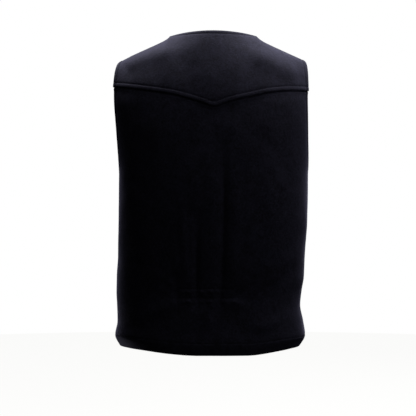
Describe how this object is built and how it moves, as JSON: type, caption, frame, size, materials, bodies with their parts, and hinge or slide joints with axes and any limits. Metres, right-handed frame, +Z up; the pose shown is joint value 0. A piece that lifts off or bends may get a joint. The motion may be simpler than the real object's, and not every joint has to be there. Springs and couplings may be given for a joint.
{
  "type": "western vest",
  "caption": "Men's western vest in heavy wool, with a single-point back yoke, V neck, buttoned front and an elastic casing at the back waist.",
  "frame": {"origin": "on top of the shoulders, midway between the two ends of the back neck edge, where the wearer holds the vest up", "axes": "+Z up, the fronts face -Y, the wearer's left is +X"},
  "size_m": [0.4135, 0.2585, 0.672],
  "materials": {
    "melton": "fulled wool melton, almost black, with a short matt nap",
    "button": "black horn, satin"
  },
  "bodies": {
    "root": {"back_yoke": "melton", "back_body": "melton", "front_left": "melton", "front_right": "melton", "button_1": "button", "button_2": "button", "button_3": "button", "button_4": "button", "button_5": "button"}
  },
  "joints": []
}
